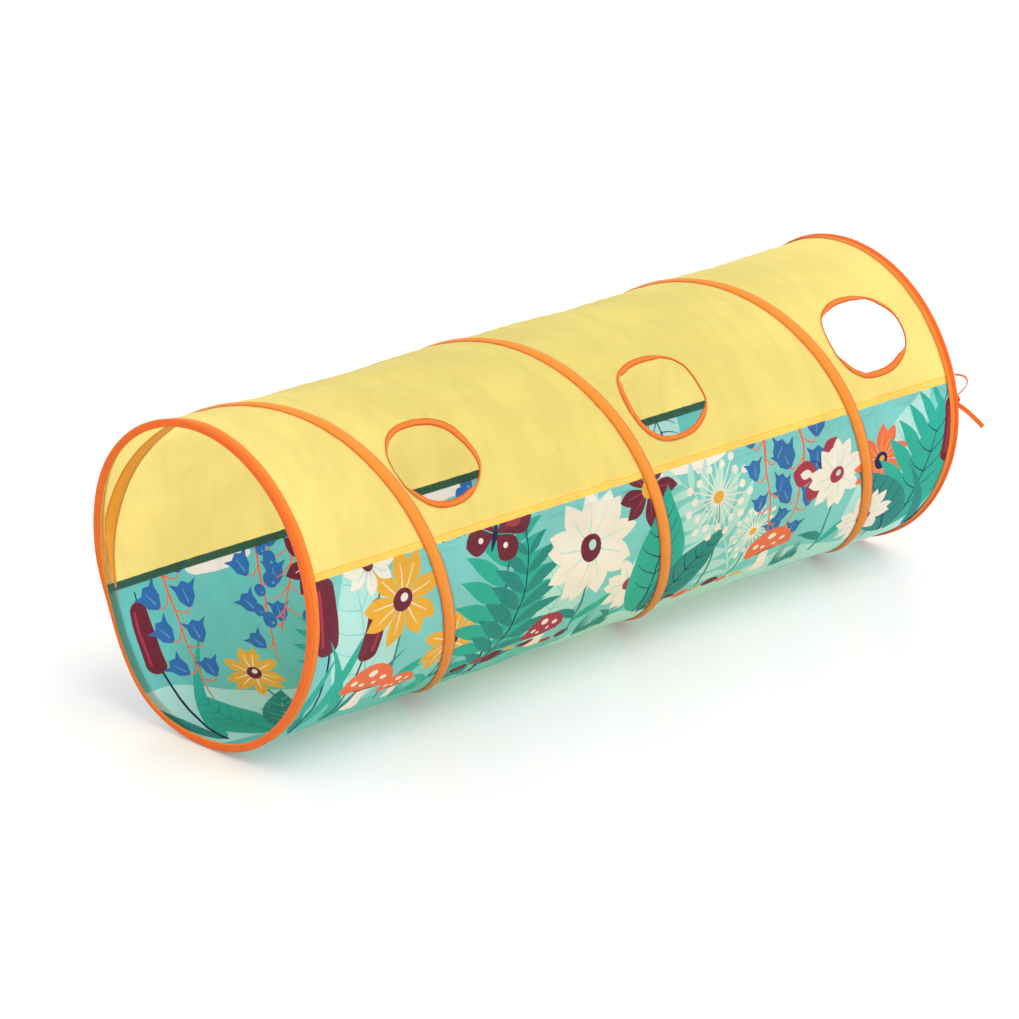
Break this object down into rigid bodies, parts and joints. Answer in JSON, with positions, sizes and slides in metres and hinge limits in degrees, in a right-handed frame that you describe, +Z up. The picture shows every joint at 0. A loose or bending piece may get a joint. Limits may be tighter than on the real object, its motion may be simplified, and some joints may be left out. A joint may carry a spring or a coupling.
{
  "type": "pop-up play tunnel",
  "caption": "Cloth crawl tunnel for small children, hung on a spring-steel coil, with oval peep holes along one side and open round mouths",
  "frame": {"origin": "on the floor, below the middle of the open tunnel", "axes": "X runs along the tunnel from the near mouth to the far mouth, -Y is the front with the peep holes, +Z is up"},
  "size_m": [1.3251, 0.4849, 0.4624],
  "materials": {
    "yellow_taffeta": "thin plain taffeta with a soft sheen, bright yellow, lets light through",
    "printed_taffeta": "the same taffeta printed all over on an aqua ground, paler outside and deeper inside",
    "orange_tape": "matt woven binding tape, bright orange, with lines of stitching",
    "spring_steel": "drawn spring wire, dull grey",
    "sleeve_steel": "plated crimp sleeve"
  },
  "bodies": {
    "near_end": {"upper_panel": "yellow_taffeta", "lower_panel": "printed_taffeta", "near_ring_binding": "orange_tape", "coil_tape_outer": "orange_tape", "coil_tape_inner": "orange_tape", "window_binding_1": "orange_tape", "window_binding_2": "orange_tape", "window_binding_3": "orange_tape", "coil_wire": "spring_steel", "near_crimp_sleeve": "sleeve_steel"},
    "far_end": {"far_ring_binding": "orange_tape", "far_crimp_sleeve": "sleeve_steel", "tie_knot": "orange_tape", "tie_loop": "orange_tape", "tie_tail": "orange_tape"}
  },
  "joints": [
    {"name": "collapse", "type": "slide", "parent": "near_end", "child": "far_end", "axis": [1, 0, 0], "range_m": [-1.216, 0], "stiffness_N_per_m": 20, "deforming": ["coil_wire", "upper_panel", "lower_panel", "coil_tape_outer", "coil_tape_inner", "window_binding_1", "window_binding_2", "window_binding_3"]}
  ]
}
